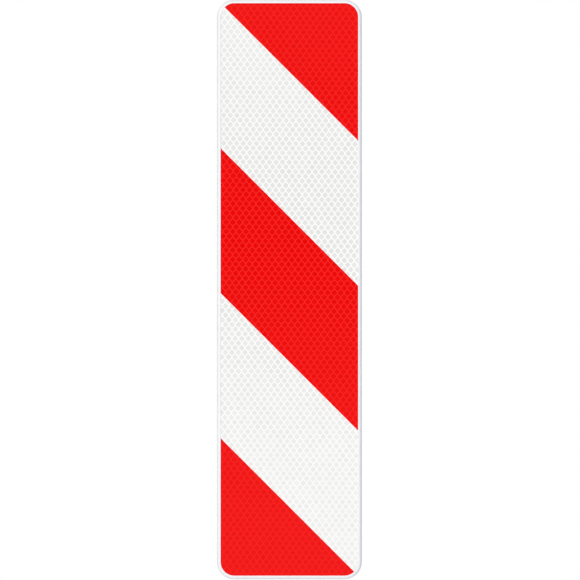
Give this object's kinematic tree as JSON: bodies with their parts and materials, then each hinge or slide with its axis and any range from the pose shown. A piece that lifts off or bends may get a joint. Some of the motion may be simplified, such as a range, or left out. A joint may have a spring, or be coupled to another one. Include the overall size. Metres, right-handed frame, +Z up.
{
  "type": "guide beacon",
  "caption": "Tall striped reflective guide beacon panel in an edge frame, with sliding rear rails and bolted clamps that hold it to a round post.",
  "frame": {"origin": "on the post's axis, at the middle of the lower post clamp", "axes": "+Z up the post and the panel, +Y from the panel's face to its back, +X to the right of someone who looks at the face"},
  "size_m": [0.25, 0.1105, 1],
  "materials": {
    "aluminium_sheet": "satin",
    "white_film": "gloss",
    "red_film": "gloss",
    "coated_aluminium": "satin",
    "rivet_aluminium": "satin",
    "extruded_aluminium": "satin",
    "cast_aluminium": "matte",
    "black_plastic": "matte",
    "stainless_steel": "satin",
    "galvanised_steel": "satin"
  },
  "bodies": {
    "panel": {"panel_plate": "aluminium_sheet", "white_sheeting": "white_film", "red_stripe_top": "red_film", "red_stripe_middle": "red_film", "red_stripe_bottom": "red_film", "edge_frame": "coated_aluminium", "frame_joint_plate": "aluminium_sheet", "frame_joint_rivets": "rivet_aluminium"},
    "lower_rail": {"lower_rail": "extruded_aluminium", "lower_rail_end_caps": "black_plastic", "lower_claw_left": "cast_aluminium", "lower_claw_right": "cast_aluminium", "lower_claw_screws": "stainless_steel", "lower_claw_washers": "stainless_steel"},
    "lower_clamp": {"lower_saddle": "extruded_aluminium", "lower_bolts": "stainless_steel"},
    "lower_strap": {"lower_strap": "galvanised_steel", "lower_strap_washers": "stainless_steel"},
    "lower_nut_left": {"lower_nut_left": "stainless_steel"},
    "lower_nut_right": {"lower_nut_right": "stainless_steel"},
    "upper_rail": {"upper_rail": "extruded_aluminium", "upper_rail_end_caps": "black_plastic", "upper_claw_left": "cast_aluminium", "upper_claw_right": "cast_aluminium", "upper_claw_screws": "stainless_steel", "upper_claw_washers": "stainless_steel"},
    "upper_clamp": {"upper_saddle": "extruded_aluminium", "upper_bolts": "stainless_steel"},
    "upper_strap": {"upper_strap": "galvanised_steel", "upper_strap_washers": "stainless_steel"},
    "upper_nut_left": {"upper_nut_left": "stainless_steel"},
    "upper_nut_right": {"upper_nut_right": "stainless_steel"}
  },
  "joints": [
    {"name": "lower_rail_slide", "type": "slide", "parent": "panel", "child": "lower_rail", "axis": [0, 0, 1], "range_m": [-0.15, 0.25]},
    {"name": "lower_clamp_shift", "type": "slide", "parent": "lower_rail", "child": "lower_clamp", "axis": [1, 0, 0], "range_m": [-0.04, 0.04]},
    {"name": "lower_strap_release", "type": "slide", "parent": "lower_clamp", "child": "lower_strap", "axis": [0, 1, 0], "range_m": [0, 0.0075]},
    {"name": "lower_nut_left_turn", "type": "hinge", "parent": "lower_strap", "child": "lower_nut_left", "pos_m": [-0.04613, 0.0086, 0], "axis": [0, 1, 0], "range_deg": [0, 2160]},
    {"name": "lower_nut_right_turn", "type": "hinge", "parent": "lower_strap", "child": "lower_nut_right", "pos_m": [0.04613, 0.0086, 0], "axis": [0, 1, 0], "range_deg": [0, 2160]},
    {"name": "upper_rail_slide", "type": "slide", "parent": "panel", "child": "upper_rail", "axis": [0, 0, 1], "range_m": [-0.25, 0.15]},
    {"name": "upper_clamp_shift", "type": "slide", "parent": "upper_rail", "child": "upper_clamp", "axis": [1, 0, 0], "range_m": [-0.04, 0.04]},
    {"name": "upper_strap_release", "type": "slide", "parent": "upper_clamp", "child": "upper_strap", "axis": [0, 1, 0], "range_m": [0, 0.0075]},
    {"name": "upper_nut_left_turn", "type": "hinge", "parent": "upper_strap", "child": "upper_nut_left", "pos_m": [-0.04613, 0.0086, 0.6], "axis": [0, 1, 0], "range_deg": [0, 2160]},
    {"name": "upper_nut_right_turn", "type": "hinge", "parent": "upper_strap", "child": "upper_nut_right", "pos_m": [0.04613, 0.0086, 0.6], "axis": [0, 1, 0], "range_deg": [0, 2160]}
  ],
  "couplings": [
    {"joint": "lower_nut_left_turn", "follows": "lower_strap_release", "rad_per_m": 5026.5},
    {"joint": "lower_nut_right_turn", "follows": "lower_strap_release", "rad_per_m": 5026.5},
    {"joint": "upper_nut_left_turn", "follows": "upper_strap_release", "rad_per_m": 5026.5},
    {"joint": "upper_nut_right_turn", "follows": "upper_strap_release", "rad_per_m": 5026.5}
  ]
}
